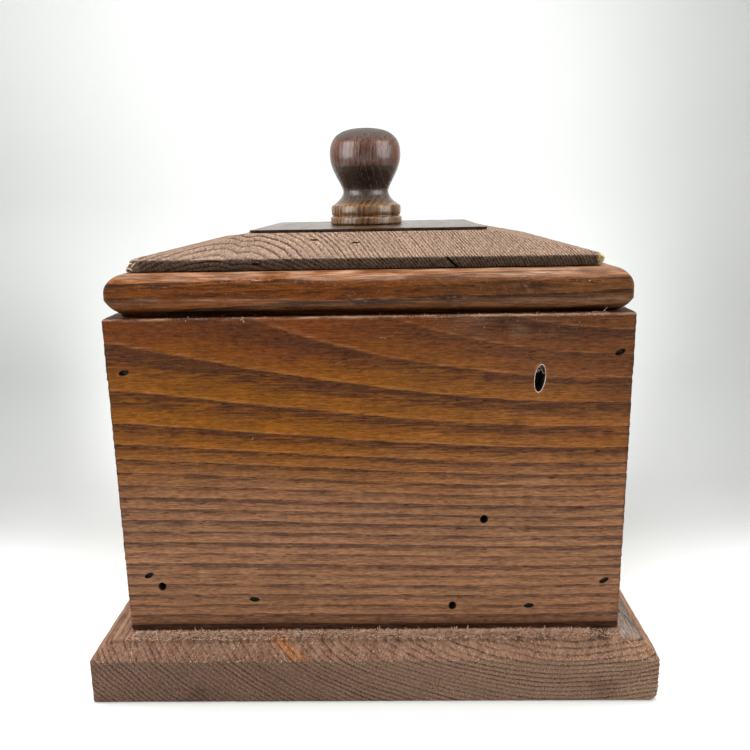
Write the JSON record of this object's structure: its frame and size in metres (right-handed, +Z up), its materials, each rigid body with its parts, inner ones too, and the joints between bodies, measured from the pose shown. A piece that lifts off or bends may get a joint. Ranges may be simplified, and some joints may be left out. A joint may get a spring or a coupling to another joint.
{
  "type": "lidded wooden box",
  "caption": "Square wooden box on a bevelled plinth, with nailed board walls and a lift-off hipped lid with a moulded edge and a turned knob.",
  "frame": {"origin": "on the ground under the centre of the plinth", "axes": "+Z up, the front board faces -Y, +X to the right of a viewer in front"},
  "size_m": [0.2268, 0.2268, 0.2291],
  "materials": {
    "varnished_wood": "old orange-brown varnish, satin, worn at the edges",
    "bare_wood": "weathered grey-brown, rough, unvarnished",
    "inside_wood": "bare softwood, planed",
    "dark_plate": "thin dark lacquered plate, glossy",
    "knob_wood": "dark reddish-brown, turned and polished",
    "nail_iron": "dark oxidised iron",
    "screw_steel": "plain steel"
  },
  "bodies": {
    "box": {"plinth_board": "bare_wood", "front_board": "varnished_wood", "back_board": "varnished_wood", "left_board": "varnished_wood", "right_board": "varnished_wood", "bottom_board": "inside_wood", "front_nail_upper_left": "nail_iron", "front_nail_upper_right": "nail_iron", "front_nail_lower_left": "nail_iron", "front_nail_lower_right": "nail_iron", "front_nail_foot_left": "nail_iron", "front_nail_foot_right": "nail_iron", "back_nail_upper_left": "nail_iron", "back_nail_upper_right": "nail_iron", "back_nail_lower_left": "nail_iron", "back_nail_lower_right": "nail_iron", "back_nail_foot_left": "nail_iron", "back_nail_foot_right": "nail_iron", "left_nail_foot_front": "nail_iron", "left_nail_foot_back": "nail_iron", "right_nail_foot_front": "nail_iron", "right_nail_foot_back": "nail_iron", "plinth_screw_front_left": "screw_steel", "plinth_screw_front_right": "screw_steel", "plinth_screw_back_left": "screw_steel", "plinth_screw_back_right": "screw_steel"},
    "lid": {"lid_board": "varnished_wood", "hip_panel": "bare_wood", "top_plate": "dark_plate", "knob": "knob_wood", "front_cleat": "inside_wood", "back_cleat": "inside_wood", "left_cleat": "inside_wood", "right_cleat": "inside_wood", "panel_nail_front_left": "nail_iron", "panel_nail_front_right": "nail_iron", "panel_nail_back_left": "nail_iron", "panel_nail_back_right": "nail_iron", "panel_nail_left_front": "nail_iron", "panel_nail_left_back": "nail_iron", "panel_nail_right_front": "nail_iron", "panel_nail_right_back": "nail_iron", "front_cleat_brad_1": "nail_iron", "front_cleat_brad_2": "nail_iron", "back_cleat_brad_1": "nail_iron", "back_cleat_brad_2": "nail_iron", "left_cleat_brad_1": "nail_iron", "left_cleat_brad_2": "nail_iron", "right_cleat_brad_1": "nail_iron", "right_cleat_brad_2": "nail_iron", "knob_screw": "screw_steel", "knob_washer": "screw_steel"}
  },
  "joints": [
    {"name": "lid_lift", "type": "slide", "parent": "box", "child": "lid", "axis": [0, 0, 1], "range_m": [0, 0.1]}
  ]
}
